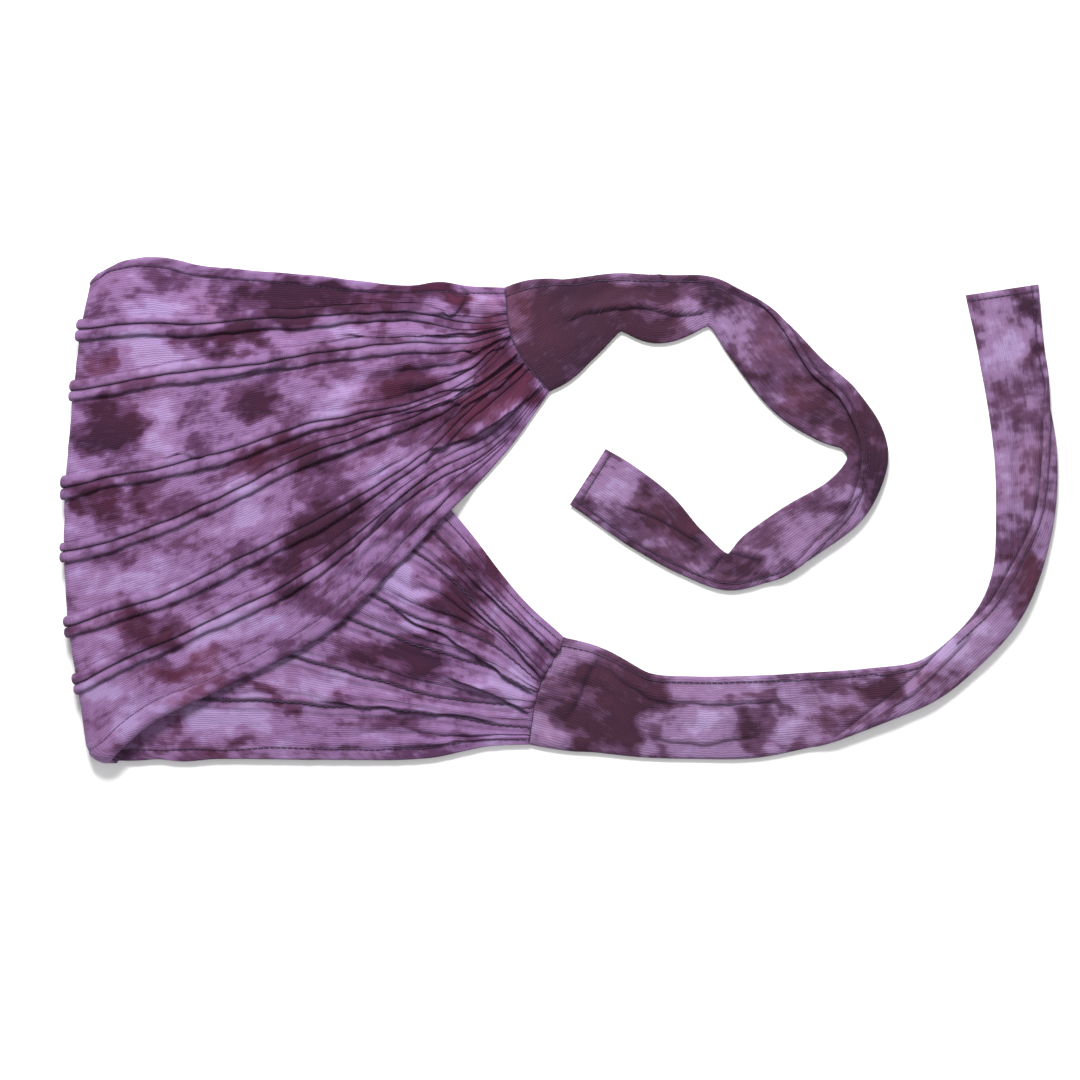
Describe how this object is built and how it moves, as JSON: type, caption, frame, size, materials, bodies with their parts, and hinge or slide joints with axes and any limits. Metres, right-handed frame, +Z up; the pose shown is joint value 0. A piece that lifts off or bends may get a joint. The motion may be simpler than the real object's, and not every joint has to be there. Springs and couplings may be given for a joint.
{
  "type": "tie headband",
  "caption": "Wide gathered jersey headband with raised seams, folded in half and lying flat, with a long loose tie at each end.",
  "frame": {"origin": "on the surface that the headband lies on, under the middle of its box", "axes": "+X from the fold towards the ties, +Y towards the upper tie's side, +Z up"},
  "size_m": [0.4594, 0.2326, 0.0131],
  "materials": {
    "strip_jersey": "matt cotton jersey, tie-dyed in purples",
    "tie_jersey": "matt cotton jersey, tie-dyed in purples",
    "thread": "dark sewing thread"
  },
  "bodies": {
    "root": {"strip_1": "strip_jersey", "strip_2": "strip_jersey", "strip_3": "strip_jersey", "strip_4": "strip_jersey", "strip_5": "strip_jersey", "strip_6": "strip_jersey", "strip_7": "strip_jersey", "tie_upper": "tie_jersey", "tie_lower": "tie_jersey"}
  },
  "joints": []
}
